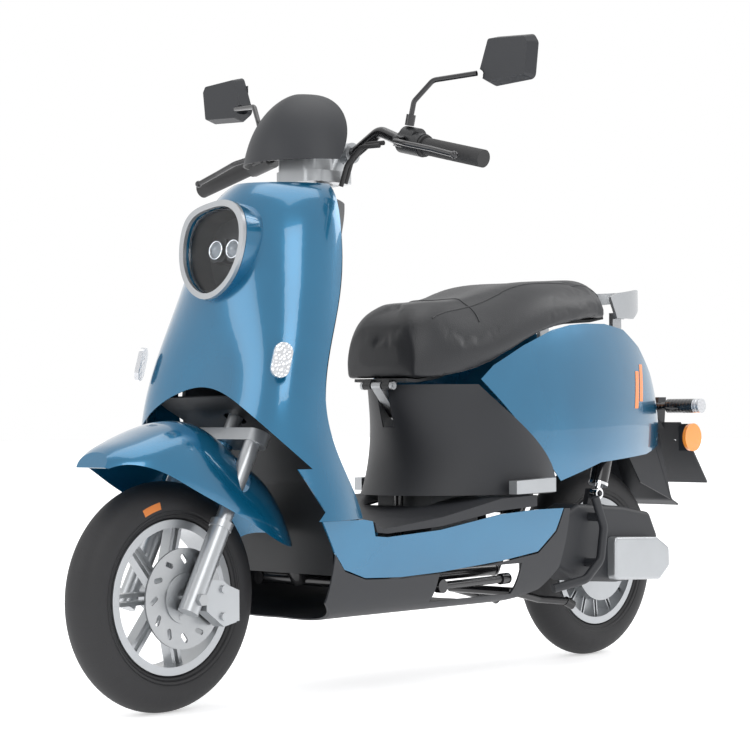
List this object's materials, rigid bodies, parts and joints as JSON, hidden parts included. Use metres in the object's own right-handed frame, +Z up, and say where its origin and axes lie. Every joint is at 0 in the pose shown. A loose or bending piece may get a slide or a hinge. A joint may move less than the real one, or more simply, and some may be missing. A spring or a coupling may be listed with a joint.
{
  "type": "electric moped scooter",
  "caption": "Step-through electric moped scooter with leg shield, flat deck, sprung fork and swingarm, lifting seat and folding stands.",
  "frame": {"origin": "on the ground, on the centre plane, midway between the front tyre's front and the tail's rear edge", "axes": "+X forward, +Y to the rider's left, +Z up"},
  "size_m": [1.756, 0.8872, 1.223],
  "materials": {
    "blue_paint": "gloss metallic",
    "dark_plastic": "textured",
    "black_plastic": "satin",
    "silver_paint": "satin silver",
    "steel": "brushed",
    "chrome": "polished",
    "black_metal": "gloss",
    "rubber": "matt",
    "tyre": "matt",
    "clear_lens": "clear",
    "amber_lens": "gloss",
    "seat_leather": "grained",
    "screen": "gloss",
    "battery": "satin"
  },
  "bodies": {
    "chassis": {"frame": "black_metal", "headset_bearings": "steel", "front_apron": "blue_paint", "arch_liner": "black_plastic", "leg_shield": "dark_plastic", "floorboard": "dark_plastic", "side_skirts": "blue_paint", "belly_pan": "dark_plastic", "seat_pedestal": "dark_plastic", "side_panels": "blue_paint", "tail_cover": "blue_paint", "grab_rail": "silver_paint", "rear_lenses": "amber_lens", "indicators": "clear_lens", "rear_mudguard": "dark_plastic", "headlamp_unit": "dark_plastic", "headlamp_lens": "clear_lens", "headlamp_ring": "silver_paint", "power_pack": "battery", "seat_hinge": "steel"},
    "seat": {"seat_base": "black_plastic", "seat_cushion": "seat_leather"},
    "steering": {"fork_uppers": "silver_paint", "front_fender": "blue_paint", "handlebar": "black_metal", "cowl": "dark_plastic", "bar_cover": "silver_paint", "dash_display": "screen", "switch_housings": "black_plastic", "grip_left": "rubber", "mirror_stems": "black_metal", "bar_cables": "rubber"},
    "fork_lower": {"fork_sliders": "silver_paint", "caliper": "silver_paint", "front_axle": "steel"},
    "front_wheel": {"front_rim": "silver_paint", "front_tyre": "tyre", "brake_disc": "steel"},
    "lever_left": {"brake_lever_left": "black_metal"},
    "lever_right": {"brake_lever_right": "black_metal"},
    "throttle": {"throttle_grip": "rubber"},
    "mirror_l": {"mirror_left": "dark_plastic"},
    "mirror_r": {"mirror_right": "dark_plastic"},
    "rear_arm": {"swingarm": "black_metal", "motor_case": "dark_plastic", "case_cover": "silver_paint", "rear_axle": "steel"},
    "rear_wheel": {"rear_rim": "silver_paint", "rear_tyre": "tyre"},
    "shock_upper": {"shock_bodies": "black_metal"},
    "shock_lower": {"shock_rods": "chrome", "shock_springs": "black_metal"},
    "stand_centre": {"centre_stand": "black_metal"},
    "stand_side": {"side_stand": "black_metal"},
    "peg_left": {"footrest_left": "silver_paint"},
    "peg_right": {"footrest_right": "silver_paint"},
    "ignition_key": {"key": "steel"},
    "button_horn": {"horn_button": "black_plastic"},
    "button_start": {"starter_button": "black_plastic"},
    "switch_turn": {"turn_switch": "black_plastic"}
  },
  "joints": [
    {"name": "steer_turn", "type": "hinge", "parent": "chassis", "child": "steering", "pos_m": [0.66441, 0, 0.19937], "axis": [-0.4695, 0, 0.8829], "range_deg": [-38, 38]},
    {"name": "fork_travel", "type": "slide", "parent": "steering", "child": "fork_lower", "axis": [-0.4695, 0, 0.8829], "range_m": [-0.012, 0.04], "stiffness_N_per_m": 16000, "springref_m": -0.016},
    {"name": "front_wheel_spin", "type": "hinge", "parent": "fork_lower", "child": "front_wheel", "pos_m": [0.675, 0, 0.205], "axis": [0, 1, 0], "continuous": true},
    {"name": "brake_left_pull", "type": "hinge", "parent": "steering", "child": "lever_left", "pos_m": [0.26347, 0.19431, 1.03399], "axis": [0, 0, 1], "range_deg": [0, 6], "stiffness_Nm_per_rad": 8, "springref_deg": -2.86},
    {"name": "brake_right_pull", "type": "hinge", "parent": "steering", "child": "lever_right", "pos_m": [0.26347, -0.19431, 1.03399], "axis": [0, 0, -1], "range_deg": [0, 6], "stiffness_Nm_per_rad": 8, "springref_deg": -2.86},
    {"name": "throttle_twist", "type": "hinge", "parent": "steering", "child": "throttle", "pos_m": [0.2282, -0.23214, 1.02454], "axis": [0.0187, -0.97, -0.2425], "range_deg": [0, 60], "stiffness_Nm_per_rad": 0.5, "springref_deg": -17.19},
    {"name": "mirror_left_turn", "type": "hinge", "parent": "steering", "child": "mirror_l", "pos_m": [0.18604, 0.326, 1.15357], "axis": [0, 0, 1], "range_deg": [-25, 25]},
    {"name": "mirror_right_turn", "type": "hinge", "parent": "steering", "child": "mirror_r", "pos_m": [0.18604, -0.326, 1.15357], "axis": [0, 0, 1], "range_deg": [-25, 25]},
    {"name": "seat_lift", "type": "hinge", "parent": "chassis", "child": "seat", "pos_m": [0.111, 0, 0.582], "axis": [0, 1, 0], "range_deg": [0, 55]},
    {"name": "rear_arm_travel", "type": "hinge", "parent": "chassis", "child": "rear_arm", "pos_m": [-0.235, 0, 0.255], "axis": [0, 1, 0], "range_deg": [-3.5, 6.5], "stiffness_Nm_per_rad": 3500, "springref_deg": -1.72},
    {"name": "rear_wheel_spin", "type": "hinge", "parent": "rear_arm", "child": "rear_wheel", "pos_m": [-0.547, 0, 0.205], "axis": [0, 1, 0], "continuous": true},
    {"name": "shock_tilt", "type": "hinge", "parent": "chassis", "child": "shock_upper", "pos_m": [-0.5, 0, 0.552], "axis": [0, 1, 0], "range_deg": [-6, 4]},
    {"name": "shock_travel", "type": "slide", "parent": "shock_upper", "child": "shock_lower", "axis": [-0.3191, 0, 0.9477], "range_m": [-0.03, 0.04], "deforming": ["shock_springs"]},
    {"name": "centre_stand_fold", "type": "hinge", "parent": "chassis", "child": "stand_centre", "pos_m": [-0.195, 0, 0.162], "axis": [0, -1, 0], "range_deg": [0, 80]},
    {"name": "side_stand_fold", "type": "hinge", "parent": "chassis", "child": "stand_side", "pos_m": [0.108, 0.158, 0.196], "axis": [0, -0.9397, -0.3419], "range_deg": [0, 98]},
    {"name": "footrest_left_fold", "type": "hinge", "parent": "chassis", "child": "peg_left", "pos_m": [-0.11, 0.217, 0.37], "axis": [-1, 0, 0], "range_deg": [0, 88]},
    {"name": "footrest_right_fold", "type": "hinge", "parent": "chassis", "child": "peg_right", "pos_m": [-0.11, -0.217, 0.37], "axis": [1, 0, 0], "range_deg": [0, 88]},
    {"name": "key_turn", "type": "hinge", "parent": "chassis", "child": "ignition_key", "pos_m": [0.25, -0.062, 0.8], "axis": [-1, 0, 0], "range_deg": [0, 80]},
    {"name": "horn_press", "type": "slide", "parent": "steering", "child": "button_horn", "axis": [1, 0, 0], "range_m": [0, 0.002], "stiffness_N_per_m": 300, "springref_m": -0.001},
    {"name": "start_press", "type": "slide", "parent": "steering", "child": "button_start", "axis": [1, 0, 0], "range_m": [0, 0.002], "stiffness_N_per_m": 300, "springref_m": -0.001},
    {"name": "turn_slide", "type": "slide", "parent": "steering", "child": "switch_turn", "axis": [0, 1, 0], "range_m": [-0.0025, 0.0025]}
  ],
  "couplings": [
    {"joint": "shock_tilt", "follows": "rear_arm_travel", "ratio": -0.81609},
    {"joint": "shock_travel", "follows": "rear_arm_travel", "m_per_rad": 0.14761}
  ]
}
